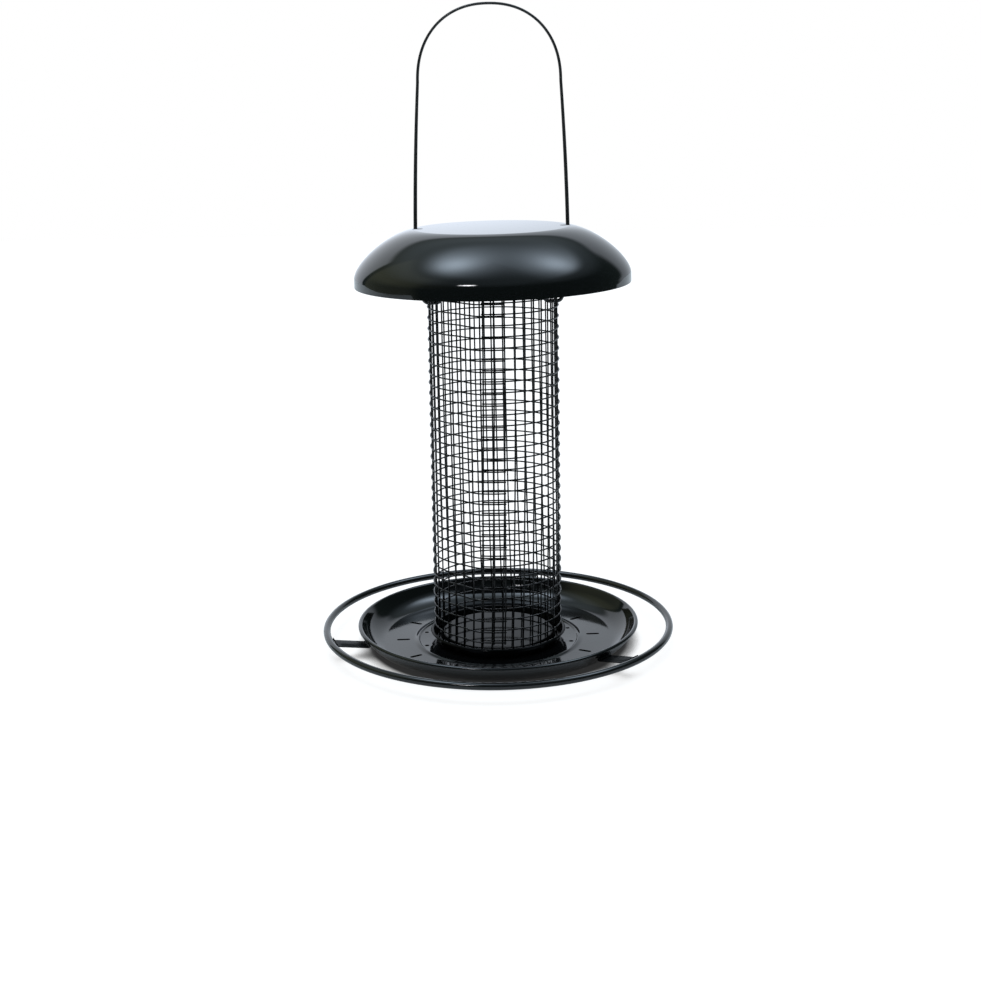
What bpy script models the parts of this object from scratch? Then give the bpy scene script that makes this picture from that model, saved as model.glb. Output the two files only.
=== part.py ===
"""Hanging peanut feeder: a welded mesh tube between a pressed roof and a pressed tray.

The mesh tube stands in a base cup on the tray. A wire perch ring is carried round the tray
by three strip brackets. A wire bail hooks into the mesh on both sides, and the roof slides up it.
All lengths are in metres, +Z is up, and the tray's base rests on the plane Z = 0.
"""

import math

import bmesh
import bpy
from mathutils import Matrix, Vector

# Sheet metal, clearances and facets
SHEET_THICKNESS = 0.0008
FIT_GAP = 0.0003
CUT_OVERRUN = 0.002
MERGE_DISTANCE = 0.00001
TURNED_SIDES = 36
CUP_SIDES = 30
HOOP_SIDES = 16

# Welded mesh tube
WIRE_DIAMETER = 0.001
MESH_PITCH = 0.00635
CELLS_AROUND = 38
HOOP_RADIUS = 0.03785
BOTTOM_HOOP_HEIGHT = 0.01195
HOOP_ROWS = 37
TOP_STUB_LENGTH = 0.0055
WELD_SINK_SHARE = 0.4
SEAM_CELLS = 2
SEAM_STUB_SHARE = 0.45

# Roof, measured on its outer side
ROOF_RADIUS = 0.0791
ROOF_HEIGHT = 0.0319
ROOF_SKIRT_HEIGHT = 0.0043
ROOF_DISC_RADIUS = 0.0444
ROOF_SEAT_CLEARANCE = 0.0008
ROOF_TRAVEL = 0.075
ROOF_HOLE_WIDTH = 0.0042
ROOF_HOLE_CLEARANCE = 0.0004
SHOULDER_SLOPE = math.radians(8.8)
SHOULDER_PULL_SHARE = 0.424
SKIRT_PULL_SHARE = 0.364
DOME_STEPS = 7

# Tray, measured on its upper side
TRAY_RADIUS = 0.0838
TRAY_RIM_HEIGHT = 0.0113
TRAY_BEAD_RADIUS = 0.0013
TRAY_WALL_SLOPE = math.radians(67)
TRAY_COVE_RADIUS = 0.013
TRAY_RIDGE_RADIUS = 0.048
TRAY_RIDGE_HEIGHT = 0.0005
TRAY_RIDGE_INNER_RUN = 0.002
TRAY_RIDGE_OUTER_RUN = 0.005
TRAY_DIMPLE_RADIUS = 0.006
TRAY_DIMPLE_HEIGHT = 0.0018
TRAY_DIMPLE_RUN = 0.003
BEAD_END = math.radians(-60)
BEAD_STEPS = 4
COVE_STEPS = 4

# Drainage cut in the tray
DRAIN_COUNT = 12
SLOT_RADIUS = 0.0571
SLOT_LENGTH = 0.008
SLOT_WIDTH = 0.002
SLOT_START = math.radians(2.5)
HOLE_RADIUS = 0.0445
HOLE_DIAMETER = 0.0026
HOLE_START = math.radians(17.5)
HOLE_SIDES = 8

# Base cup, measured on its upper side
CUP_RIM_RADIUS = 0.0387
CUP_HEIGHT = 0.0068
CUP_FOOT_RADIUS = 0.0363
CUP_FLOOR_RADIUS = 0.0329
CUP_FLOOR_HEIGHT = 0.0047
CUP_CHANNEL_RADIUS = 0.0342
CUP_CORNER_RADIUS = 0.0007
CORNER_STEPS = 2

# Perch ring and its three brackets
PERCH_WIRE_DIAMETER = 0.0042
PERCH_GAP = 0.0166
PERCH_HEIGHT = 0.0096
PERCH_SIDES = 48
PERCH_WIRE_SIDES = 8
BRACKET_ANGLES = {"left": math.radians(197), "right": math.radians(318), "rear": math.radians(78)}
BRACKET_WIDTH = 0.0105
BRACKET_THICKNESS = 0.0006
BRACKET_RIB_HEIGHT = 0.0006
BRACKET_RIB_SHARES = (-0.5, -0.2, 0.2, 0.5)
RIB_END_SHARES = (0.08, 0.16, 0.84, 0.92)
BRACKET_FLANGE_TOP = 0.0098
BRACKET_FLANGE_FOOT = 0.0064
BRACKET_BEND_RADIUS = 0.0012
CURL_START = math.radians(168)
CURL_END = math.radians(-128)
CURL_STEPS = 9
BEND_STEPS = 3

# Bail handle, measured on the wire's centre line
BAIL_WIRE_DIAMETER = 0.0022
BAIL_CLEARANCE = 0.0004
BAIL_HOOK_ROW = 30
BAIL_BEND_RADIUS = 0.0032
BAIL_HOOK_REACH = 0.0042
BAIL_HOOK_TIP = 0.003
BAIL_LEG_SPREAD = 0.0437
BAIL_SPRING_HEIGHT = 0.3296
BAIL_ARCH_HALF_WIDTH = 0.0404
BAIL_ARCH_RISE = 0.043
BAIL_ARCH_POWER = 2.2
BAIL_LEG_BOW = 0.00045
BAIL_LEG_STEPS = 4
BAIL_ARCH_STEPS = 9
BAIL_BEND_STEPS = 3

# Screw and nut that hold the tray to the cup
SCREW_DIAMETER = 0.004
SCREW_HEAD_DIAMETER = 0.008
SCREW_HEAD_HEIGHT = 0.0014
SCREW_HOLE_DIAMETER = 0.0048
SCREW_SIDES = 16
NUT_ACROSS_CORNERS = 0.0085
NUT_THICKNESS = 0.0019

# Heights and radii that follow from the sizes above
wire_radius = WIRE_DIAMETER / 2
hoop_flat_angle = math.pi / HOOP_SIDES
hoop_corner_radius = HOOP_RADIUS * 2 / (1 + math.cos(hoop_flat_angle))
hoop_flat_radius = hoop_corner_radius * math.cos(hoop_flat_angle)
upright_radius = hoop_flat_radius - WIRE_DIAMETER - FIT_GAP
end_hoop_radius = upright_radius + WIRE_DIAMETER - WIRE_DIAMETER * WELD_SINK_SHARE
cell_angle = 2 * math.pi / CELLS_AROUND
front_angle = -math.pi / 2
top_hoop_height = BOTTOM_HOOP_HEIGHT + (HOOP_ROWS - 1) * MESH_PITCH
tube_top = top_hoop_height + TOP_STUB_LENGTH

roof_top = tube_top + ROOF_SEAT_CLEARANCE + SHEET_THICKNESS
roof_base = roof_top - ROOF_HEIGHT

tray_floor_top = SHEET_THICKNESS
bead_centre = Vector((TRAY_RADIUS - TRAY_BEAD_RADIUS, TRAY_RIM_HEIGHT))
wall_normal_angle = TRAY_WALL_SLOPE + math.pi / 2
perch_radius = TRAY_RADIUS + PERCH_GAP + PERCH_WIRE_DIAMETER / 2

cup_base = tray_floor_top + FIT_GAP + SHEET_THICKNESS
cup_rim_height = cup_base + CUP_HEIGHT
cup_floor_underside = cup_base + CUP_FLOOR_HEIGHT - SHEET_THICKNESS
cup_wall_run = (CUP_RIM_RADIUS - CUP_FOOT_RADIUS) / CUP_HEIGHT

bail_radius = BAIL_WIRE_DIAMETER / 2
hook_rest = BOTTOM_HOOP_HEIGHT + BAIL_HOOK_ROW * MESH_PITCH + wire_radius
hook_height = hook_rest + FIT_GAP + bail_radius
hook_radius = hoop_corner_radius + wire_radius + BAIL_CLEARANCE + bail_radius


def clear_scene():
    for thing in list(bpy.data.objects):
        bpy.data.objects.remove(thing, do_unlink=True)


def make_collection(name):
    collection = bpy.data.collections.new(name)
    bpy.context.scene.collection.children.link(collection)
    return collection


def make_material(name, colour, roughness, metallic):
    material = bpy.data.materials.new(name)
    material.use_nodes = True
    shader = material.node_tree.nodes["Principled BSDF"]
    shader.inputs["Base Color"].default_value = (*colour, 1)
    shader.inputs["Roughness"].default_value = roughness
    shader.inputs["Metallic"].default_value = metallic
    return material


def add_object(name, data, collection, material=None):
    thing = bpy.data.objects.new(name, data)
    collection.objects.link(thing)
    if material:
        data.materials.append(material)
    return thing


def add_tool(name, mesh):
    """Put a hidden cutting or joining shape in the tools' collection."""
    tool = add_object(name, mesh, tools)
    tool.hide_render = True
    tool.display_type = "WIRE"
    return tool


def apply_boolean(thing, tool, operation):
    modifier = thing.modifiers.new(operation.lower(), "BOOLEAN")
    modifier.operation = operation
    modifier.solver = "EXACT"
    modifier.object = tool


def mesh_from_bmesh(name, shape):
    mesh = bpy.data.meshes.new(name)
    shape.to_mesh(mesh)
    shape.free()
    return mesh


def arc(centre, radius, start, end, steps):
    """Points on an arc, both ends included, as (distance from the axis, height)."""
    angles = [start + (end - start) * step / steps for step in range(steps + 1)]
    return [centre + radius * Vector((math.cos(angle), math.sin(angle))) for angle in angles]


def turned_sheet(name, outline, sides, material):
    """Turn an open outline round Z and thicken it away from the side that it describes."""
    mesh = bpy.data.meshes.new(name)
    edges = [(index, index + 1) for index in range(len(outline) - 1)]
    mesh.from_pydata([(point[0], 0, point[1]) for point in outline], edges, [])
    sheet = add_object(name, mesh, feeder, material)
    screw = sheet.modifiers.new("turn", "SCREW")
    screw.steps = sides
    screw.render_steps = sides
    screw.use_merge_vertices = True
    screw.merge_threshold = MERGE_DISTANCE
    screw.use_smooth_shade = True
    solidify = sheet.modifiers.new("sheet", "SOLIDIFY")
    solidify.thickness = SHEET_THICKNESS
    solidify.offset = -1
    solidify.use_even_offset = True
    return sheet


def torus_mesh(name, radius, tube_radius, sides, tube_sides):
    bpy.ops.mesh.primitive_torus_add(
        major_radius=radius,
        minor_radius=tube_radius,
        major_segments=sides,
        minor_segments=tube_sides,
    )
    maker = bpy.context.object
    mesh = maker.data
    mesh.name = name
    bpy.data.objects.remove(maker, do_unlink=True)
    return mesh


def add_prism(shape, sides, radius, depth, placement):
    bmesh.ops.create_cone(
        shape,
        cap_ends=True,
        segments=sides,
        radius1=radius,
        radius2=radius,
        depth=depth,
        matrix=placement,
    )


def stack(thing, count, spacing):
    array = thing.modifiers.new("rows", "ARRAY")
    array.count = count
    array.use_relative_offset = False
    array.use_constant_offset = True
    array.constant_offset_displace = (0, 0, spacing)


def standing_wires(name, angles, radius_at, bottom, top):
    """Upright wires round the tube, each with one corner turned outwards."""
    shape = bmesh.new()
    for angle in angles:
        place = Vector((radius_at(angle), 0, (bottom + top) / 2))
        placement = Matrix.Rotation(angle, 4, "Z") @ Matrix.Translation(place)
        add_prism(shape, 4, wire_radius, top - bottom, placement)
    return mesh_from_bmesh(name, shape)


def cup_inner_radius(height):
    return CUP_FOOT_RADIUS + (height - cup_base) * cup_wall_run


def upright_foot():
    """Height at which the tapering cup stops the upright wires."""
    reach = upright_radius + wire_radius + FIT_GAP
    facet_share = math.cos(math.pi / CUP_SIDES)
    return cup_base + (reach / facet_share - CUP_FOOT_RADIUS) / cup_wall_run


def hoop_outer_radius(angle):
    """Outer edge of the faceted hoops in one direction."""
    turn = (angle + hoop_flat_angle) % (2 * hoop_flat_angle) - hoop_flat_angle
    turn = abs(turn)
    return hoop_flat_radius / math.cos(hoop_flat_angle - turn) + wire_radius


def seam_radius(angle):
    return hoop_outer_radius(angle) + wire_radius - WIRE_DIAMETER * WELD_SINK_SHARE


def make_upright_wires():
    angles = [front_angle + cell_angle * index for index in range(CELLS_AROUND)]
    mesh = standing_wires(
        "mesh_upright_wires", angles, lambda angle: upright_radius, upright_foot(), tube_top
    )
    wires = add_object("mesh_upright_wires", mesh, feeder, wire_coat)
    ring = torus_mesh("end_hoops", end_hoop_radius, wire_radius, CELLS_AROUND, 4)
    hoops = add_tool("end_hoops", ring)
    hoops.rotation_euler.z = front_angle
    hoops.location.z = BOTTOM_HOOP_HEIGHT
    stack(hoops, 2, top_hoop_height - BOTTOM_HOOP_HEIGHT)
    apply_boolean(wires, hoops, "UNION")


def make_hoop_wires():
    ring = torus_mesh("mesh_hoop_wires", hoop_corner_radius, wire_radius, HOOP_SIDES, 4)
    wires = add_object("mesh_hoop_wires", ring, feeder, wire_coat)
    wires.location.z = BOTTOM_HOOP_HEIGHT + MESH_PITCH
    stack(wires, HOOP_ROWS - 2, MESH_PITCH)
    half = SEAM_CELLS / 2
    angles = [front_angle + cell_angle * (index - half) for index in range(SEAM_CELLS + 1)]
    stub = MESH_PITCH * SEAM_STUB_SHARE
    bottom = BOTTOM_HOOP_HEIGHT + MESH_PITCH - stub
    top = top_hoop_height - MESH_PITCH + stub
    seam = add_tool("seam_wires", standing_wires("seam_wires", angles, seam_radius, bottom, top))
    apply_boolean(wires, seam, "UNION")


def bezier(points, steps):
    """Points on a cubic curve, both ends included."""
    result = []
    for step in range(steps + 1):
        share = step / steps
        row = list(points)
        while len(row) > 1:
            row = [first.lerp(second, share) for first, second in zip(row, row[1:])]
        result.append(row[0])
    return result


def roof_outline():
    """Outer side of the roof from its centre to the skirt's edge, with heights from that edge."""
    run = ROOF_RADIUS - ROOF_DISC_RADIUS
    drop = ROOF_HEIGHT - ROOF_SKIRT_HEIGHT
    shoulder = Vector((ROOF_DISC_RADIUS, ROOF_HEIGHT))
    skirt = Vector((ROOF_RADIUS, ROOF_SKIRT_HEIGHT))
    slope = Vector((math.cos(SHOULDER_SLOPE), -math.sin(SHOULDER_SLOPE)))
    shoulder_pull = shoulder + slope * run * SHOULDER_PULL_SHARE
    skirt_pull = skirt + Vector((0, drop * SKIRT_PULL_SHARE))
    dome = bezier((shoulder, shoulder_pull, skirt_pull, skirt), DOME_STEPS)
    return [Vector((0, ROOF_HEIGHT)), *dome, Vector((ROOF_RADIUS, 0))]


def leg_position(height):
    """Distance of a bail leg from the tube's axis, above the roof's disc."""
    share = (height - roof_top) / (BAIL_SPRING_HEIGHT - roof_top)
    straight = BAIL_LEG_SPREAD + (BAIL_ARCH_HALF_WIDTH - BAIL_LEG_SPREAD) * share
    return straight + BAIL_LEG_BOW * 4 * share * (1 - share)


def roof_hole_tool():
    """Two oval posts that leave the bail's legs room at every height of the roof."""
    inner = leg_position(roof_top + ROOF_TRAVEL) - bail_radius - ROOF_HOLE_CLEARANCE
    outer = BAIL_LEG_SPREAD + bail_radius + ROOF_HOLE_CLEARANCE
    stretch = Matrix.Scale((outer - inner) / ROOF_HOLE_WIDTH, 4, Vector((1, 0, 0)))
    depth = 2 * (SHEET_THICKNESS + CUT_OVERRUN)
    shape = bmesh.new()
    for side in (-1, 1):
        place = Matrix.Translation((side * (inner + outer) / 2, 0, roof_top))
        add_prism(shape, SCREW_SIDES, ROOF_HOLE_WIDTH / 2, depth, place @ stretch)
    return mesh_from_bmesh("bail_holes", shape)


def make_roof():
    roof = turned_sheet("roof", roof_outline(), TURNED_SIDES, black_enamel)
    roof.location.z = roof_base
    apply_boolean(roof, add_tool("bail_holes", roof_hole_tool()), "DIFFERENCE")


def wall_foot():
    """End of the tray's cove, where its straight wall starts."""
    rise = TRAY_COVE_RADIUS * (1 - math.cos(TRAY_WALL_SLOPE))
    top = wall_top()
    foot_height = tray_floor_top + rise
    run = (top.y - foot_height) / math.tan(TRAY_WALL_SLOPE)
    return Vector((top.x - run, foot_height))


def wall_top():
    """Point where the tray's straight wall meets its rolled rim."""
    normal = Vector((math.cos(wall_normal_angle), math.sin(wall_normal_angle)))
    return bead_centre + TRAY_BEAD_RADIUS * normal


def tray_outline():
    """Upper side of the tray from its centre out to the end of the rolled rim."""
    foot = wall_foot()
    cove_run = TRAY_COVE_RADIUS * math.sin(TRAY_WALL_SLOPE)
    cove_centre = Vector((foot.x - cove_run, tray_floor_top + TRAY_COVE_RADIUS))
    cove_end = TRAY_WALL_SLOPE - math.pi / 2
    dimple_foot = TRAY_DIMPLE_RADIUS + TRAY_DIMPLE_RUN
    dimple_top = tray_floor_top + TRAY_DIMPLE_HEIGHT
    return [
        Vector((0, dimple_top)),
        Vector((TRAY_DIMPLE_RADIUS, dimple_top)),
        Vector((dimple_foot, tray_floor_top)),
        Vector((TRAY_RIDGE_RADIUS - TRAY_RIDGE_INNER_RUN, tray_floor_top)),
        Vector((TRAY_RIDGE_RADIUS, tray_floor_top + TRAY_RIDGE_HEIGHT)),
        Vector((TRAY_RIDGE_RADIUS + TRAY_RIDGE_OUTER_RUN, tray_floor_top)),
        *arc(cove_centre, TRAY_COVE_RADIUS, -math.pi / 2, cove_end, COVE_STEPS),
        *arc(bead_centre, TRAY_BEAD_RADIUS, wall_normal_angle, BEAD_END, BEAD_STEPS),
    ]


def drain_tool():
    """Radial slots, round drain holes between them and the screw's hole."""
    depth = 2 * (tray_floor_top + CUT_OVERRUN)
    shape = bmesh.new()
    for index in range(DRAIN_COUNT):
        turn = 2 * math.pi * index / DRAIN_COUNT
        slot = Matrix.Rotation(SLOT_START + turn, 4, "Z") @ Matrix.Translation((SLOT_RADIUS, 0, 0))
        size = Matrix.Diagonal((SLOT_LENGTH, SLOT_WIDTH, depth, 1))
        bmesh.ops.create_cube(shape, size=1, matrix=slot @ size)
        hole = Matrix.Rotation(HOLE_START + turn, 4, "Z") @ Matrix.Translation((HOLE_RADIUS, 0, 0))
        add_prism(shape, HOLE_SIDES, HOLE_DIAMETER / 2, depth, hole)
    screw_depth = 2 * (tray_floor_top + TRAY_DIMPLE_HEIGHT + CUT_OVERRUN)
    add_prism(shape, SCREW_SIDES, SCREW_HOLE_DIAMETER / 2, screw_depth, Matrix.Identity(4))
    return mesh_from_bmesh("drains", shape)


def make_tray():
    tray = turned_sheet("tray", tray_outline(), TURNED_SIDES, black_enamel)
    apply_boolean(tray, add_tool("drains", drain_tool()), "DIFFERENCE")


def cup_outline():
    """Upper side of the base cup, from its raised floor through the channel to its rim."""
    corner_centre = Vector((CUP_FLOOR_RADIUS, CUP_FLOOR_HEIGHT - CUP_CORNER_RADIUS))
    return [
        Vector((0, CUP_FLOOR_HEIGHT)),
        *arc(corner_centre, CUP_CORNER_RADIUS, math.pi / 2, 0, CORNER_STEPS),
        Vector((CUP_CHANNEL_RADIUS, 0)),
        Vector((CUP_FOOT_RADIUS, 0)),
        Vector((CUP_RIM_RADIUS, CUP_HEIGHT)),
    ]


def make_cup():
    cup = turned_sheet("base_cup", cup_outline(), CUP_SIDES, black_enamel)
    cup.location.z = cup_base


def make_perch_ring():
    mesh = torus_mesh(
        "perch_ring", perch_radius, PERCH_WIRE_DIAMETER / 2, PERCH_SIDES, PERCH_WIRE_SIDES
    )
    mesh.shade_smooth()
    ring = add_object("perch_ring", mesh, feeder, satin_coat)
    ring.location.z = PERCH_HEIGHT


def bracket_path():
    """Middle of the strip: flange on the tray's wall, bend, arm and curl round the perch ring."""
    foot = wall_foot()
    skin = (SHEET_THICKNESS + FIT_GAP + BRACKET_THICKNESS / 2) / math.sin(TRAY_WALL_SLOPE)

    def flange(height):
        return Vector((foot.x + skin + (height - foot.y) / math.tan(TRAY_WALL_SLOPE), height))

    sag = perch_radius * (1 - math.cos(math.pi / PERCH_SIDES))
    ring_centre = Vector((perch_radius - sag / 2, PERCH_HEIGHT))
    facet_share = math.cos((CURL_END - CURL_START) / CURL_STEPS / 2)
    curl_gap = FIT_GAP + sag / 2
    curl_radius = (PERCH_WIRE_DIAMETER / 2 + curl_gap) / facet_share + BRACKET_THICKNESS / 2
    curl = arc(ring_centre, curl_radius, CURL_START, CURL_END, CURL_STEPS)
    bend_start = flange(BRACKET_FLANGE_FOOT)
    bend_centre = bend_start + BRACKET_BEND_RADIUS * Vector(
        (math.sin(TRAY_WALL_SLOPE), -math.cos(TRAY_WALL_SLOPE))
    )
    arm = curl[0] - bend_centre
    arm_slope = math.atan2(arm.y, arm.x) + math.asin(BRACKET_BEND_RADIUS / arm.length)
    bend_end = arm_slope - math.pi / 2 + 2 * math.pi
    bend = arc(bend_centre, BRACKET_BEND_RADIUS, wall_normal_angle, bend_end, BEND_STEPS)
    rib = [bend[-1].lerp(curl[0], share) for share in RIB_END_SHARES]
    path = [flange(BRACKET_FLANGE_TOP), *bend, *rib, *curl]
    ribbed = [False] * (1 + len(bend)) + [False, True, True, False] + [False] * len(curl)
    return path, ribbed


def bracket_mesh(name):
    """One strip, pressed with a shallow rib along its arm, before it is thickened."""
    path, ribbed = bracket_path()
    shape = bmesh.new()
    rows = []
    for point, raised in zip(path, ribbed):
        row = []
        for share in BRACKET_RIB_SHARES:
            inner = abs(share) < max(BRACKET_RIB_SHARES)
            lift = BRACKET_RIB_HEIGHT if raised and inner else 0
            row.append(shape.verts.new((point.x, share * BRACKET_WIDTH, point.y + lift)))
        rows.append(row)
    for first, second in zip(rows, rows[1:]):
        for left, right in zip(range(len(first) - 1), range(1, len(first))):
            shape.faces.new((first[left], second[left], second[right], first[right]))
    return mesh_from_bmesh(name, shape)


def make_bracket(side, angle):
    name = "perch_bracket_" + side
    mesh = bracket_mesh(name)
    mesh.shade_smooth()
    bracket = add_object(name, mesh, feeder, satin_coat)
    bracket.rotation_euler.z = angle
    solidify = bracket.modifiers.new("strip", "SOLIDIFY")
    solidify.thickness = BRACKET_THICKNESS
    solidify.offset = 0
    solidify.use_even_offset = True


def bail_half():
    """Centre line of one half of the bail, from the hook's tip inside the tube to the crown."""
    inside = hook_radius - BAIL_BEND_RADIUS - BAIL_HOOK_REACH
    tip_bend = Vector((inside, hook_height + BAIL_BEND_RADIUS))
    leg_bend = Vector((hook_radius - BAIL_BEND_RADIUS, hook_height + BAIL_BEND_RADIUS))
    tip = Vector((inside - BAIL_BEND_RADIUS, tip_bend.y + BAIL_HOOK_TIP))
    points = [tip]
    points += arc(tip_bend, BAIL_BEND_RADIUS, math.pi, 3 * math.pi / 2, BAIL_BEND_STEPS)
    points += arc(leg_bend, BAIL_BEND_RADIUS, -math.pi / 2, 0, BAIL_BEND_STEPS)
    leg_length = BAIL_SPRING_HEIGHT - roof_top
    for step in range(BAIL_LEG_STEPS):
        height = roof_top + leg_length * step / BAIL_LEG_STEPS
        points.append(Vector((leg_position(height), height)))
    for step in range(BAIL_ARCH_STEPS + 1):
        angle = math.pi / 2 * step / BAIL_ARCH_STEPS
        across = BAIL_ARCH_HALF_WIDTH * math.cos(angle) ** (2 / BAIL_ARCH_POWER)
        above = BAIL_ARCH_RISE * math.sin(angle) ** (2 / BAIL_ARCH_POWER)
        points.append(Vector((across, BAIL_SPRING_HEIGHT + above)))
    return points


def make_bail():
    """Wire bail with its origin on the hooks' common axis."""
    half = bail_half()
    crown = half[-1]
    points = [(point.x, point.y) for point in half[:-1]]
    points.append((0, crown.y))
    points += [(-point.x, point.y) for point in reversed(half[:-1])]
    curve = bpy.data.curves.new("bail_handle", "CURVE")
    curve.dimensions = "3D"
    curve.bevel_depth = bail_radius
    curve.bevel_resolution = 2
    curve.use_fill_caps = True
    spline = curve.splines.new("POLY")
    spline.points.add(len(points) - 1)
    for target, (across, height) in zip(spline.points, points):
        target.co = (across, 0, height - hook_height, 1)
    spline.use_smooth = True
    bail = add_object("bail_handle", curve, feeder, satin_coat)
    bail.location.z = hook_height


def make_screw():
    """Low-headed screw from below, in the tray's dimple, with its end inside the nut."""
    dimple_underside = tray_floor_top + TRAY_DIMPLE_HEIGHT - SHEET_THICKNESS
    head_top = dimple_underside - FIT_GAP
    head_foot = head_top - SCREW_HEAD_HEIGHT
    nut_top = cup_floor_underside - FIT_GAP
    outline = [
        (0, head_foot),
        (SCREW_HEAD_DIAMETER / 2, head_foot),
        (SCREW_HEAD_DIAMETER / 2, head_top),
        (SCREW_DIAMETER / 2, head_top),
        (SCREW_DIAMETER / 2, nut_top),
        (0, nut_top),
    ]
    outline.reverse()
    mesh = bpy.data.meshes.new("tray_screw")
    edges = [(index, index + 1) for index in range(len(outline) - 1)]
    mesh.from_pydata([(across, 0, height) for across, height in outline], edges, [])
    screw = add_object("tray_screw", mesh, feeder, plated_steel)
    turn = screw.modifiers.new("turn", "SCREW")
    turn.steps = SCREW_SIDES
    turn.render_steps = SCREW_SIDES
    turn.use_merge_vertices = True
    turn.merge_threshold = MERGE_DISTANCE


def make_nut():
    """Hexagon weld nut under the cup's raised floor."""
    nut_top = cup_floor_underside - FIT_GAP
    place = Matrix.Translation((0, 0, nut_top - NUT_THICKNESS / 2))
    body = bmesh.new()
    add_prism(body, 6, NUT_ACROSS_CORNERS / 2, NUT_THICKNESS, place)
    nut = add_object("weld_nut", mesh_from_bmesh("weld_nut", body), feeder, plated_steel)
    bore = bmesh.new()
    bore_radius = SCREW_DIAMETER / 2 + FIT_GAP
    add_prism(bore, SCREW_SIDES, bore_radius, NUT_THICKNESS + CUT_OVERRUN, place)
    apply_boolean(nut, add_tool("nut_bore", mesh_from_bmesh("nut_bore", bore)), "DIFFERENCE")


clear_scene()
feeder = make_collection("peanut_feeder")
tools = make_collection("cutters")
black_enamel = make_material("black_enamel", (0.012, 0.012, 0.014), 0.12, 0.0)
satin_coat = make_material("satin_coat", (0.025, 0.026, 0.028), 0.38, 0.2)
wire_coat = make_material("wire_coat", (0.012, 0.012, 0.013), 0.4, 0.1)
plated_steel = make_material("plated_steel", (0.6, 0.6, 0.58), 0.3, 1.0)

make_upright_wires()
make_hoop_wires()
make_roof()
make_tray()
make_cup()
make_perch_ring()
for bracket_side, bracket_angle in BRACKET_ANGLES.items():
    make_bracket(bracket_side, bracket_angle)
make_bail()
make_screw()
make_nut()
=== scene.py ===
"""Looks of the hanging peanut feeder: finishes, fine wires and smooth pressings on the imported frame."""

import math

import bmesh
import bpy
from mathutils import Matrix, Vector


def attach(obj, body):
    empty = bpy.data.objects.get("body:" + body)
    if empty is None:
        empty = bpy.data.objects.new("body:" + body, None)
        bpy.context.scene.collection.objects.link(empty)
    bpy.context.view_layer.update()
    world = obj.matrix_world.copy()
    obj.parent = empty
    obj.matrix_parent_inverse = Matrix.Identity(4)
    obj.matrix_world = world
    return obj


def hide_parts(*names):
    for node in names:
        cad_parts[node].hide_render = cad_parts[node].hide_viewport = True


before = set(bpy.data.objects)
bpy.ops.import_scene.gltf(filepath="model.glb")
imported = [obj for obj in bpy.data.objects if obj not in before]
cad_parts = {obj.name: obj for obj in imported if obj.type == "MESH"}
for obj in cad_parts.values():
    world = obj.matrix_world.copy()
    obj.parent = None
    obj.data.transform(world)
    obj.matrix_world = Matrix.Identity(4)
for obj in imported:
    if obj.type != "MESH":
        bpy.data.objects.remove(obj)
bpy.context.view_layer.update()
scene = bpy.context.scene
scene.view_settings.view_transform = "Standard"

# Camera, solved from the outlines of the ring, tray, roof and mesh in the 981 x 981 photograph
IMAGE_SIZE = 981
FOCAL_PIXELS = 1581.065
AXIS_ROW = 388.229
SENSOR_WIDTH = 36.0
NEAREST = 0.01
EYE = Vector((0, -0.9081, 0.3290))
PITCH = math.radians(10.942)
YAW = math.radians(-0.137)
ROLL = math.radians(-0.978)

# Black coats: cloudy gloss and colour with a faint peel
CLOUD_SCALE = 60
CLOUD_DETAIL = 4
CLOUD_CONTRAST = 0.2
PEEL_DETAIL = 2
PEEL_DEPTH = 0.0002

# Zinc plating with a fine grain
GRAIN_SCALE = 900
GRAIN_DETAIL = 2
ZINC_DARK = (0.42, 0.42, 0.40)
ZINC_LIGHT = (0.66, 0.66, 0.63)
ZINC_ROUGHNESS = (0.28, 0.4)

# Sheet metal, the room left between neighbours and the angle from which an edge stays crisp
SHEET = 0.0008
TOUCH = 0.00005
MERGE_DISTANCE = 0.00001
CRISP_ANGLE = math.radians(35)

# Wires are curves whose points have a radius in this unit
WIRE_UNIT = 0.001

# Welded mesh tube: the rolled sheet laps by two cells at the front and leans towards its foot.
# Welded wires sink a little into each other, by shares of their widths.
CELLS = 38
ROWS = 37
CELL_HEIGHT = 0.00635
CELL_TURN = 2 * math.pi / CELLS
HOOP_RADIUS = 0.03785
HOOP_WIRE = 0.00088
UPRIGHT_WIRE = 0.00095
WELD_SHARE = 0.48
BOTTOM_HOOP = 0.01195
UPRIGHT_FOOT = 0.0042
LAPPED_FOOT = 0.0022
LAPPED_TOP = 0.0006
TUBE_GAP = 0.0008
FRONT = -math.pi / 2
INNER_LEAD = math.radians(0.3)
INNER_LEAN = math.radians(6.4)
INNER_LEAN_TOP = 0.19
INNER_LEAN_POWER = 1.5
OUTER_LEAD = math.radians(-1.9)
OUTER_LEAN = math.radians(2.5)
OUTER_LEAN_TOP = 0.08
OUTER_LEAN_POWER = 2
LAP_SHARE = 0.95
LAP_RAMP = math.radians(22)
LAP_STUB = math.radians(0.9)
LAP_DROP = 0.00075
LAP_DROP_SWAY = 0.0002
LAP_SWAY_TURN = 2.4
HOOP_STEPS = 150
UPRIGHT_STEPS = 10

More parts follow.
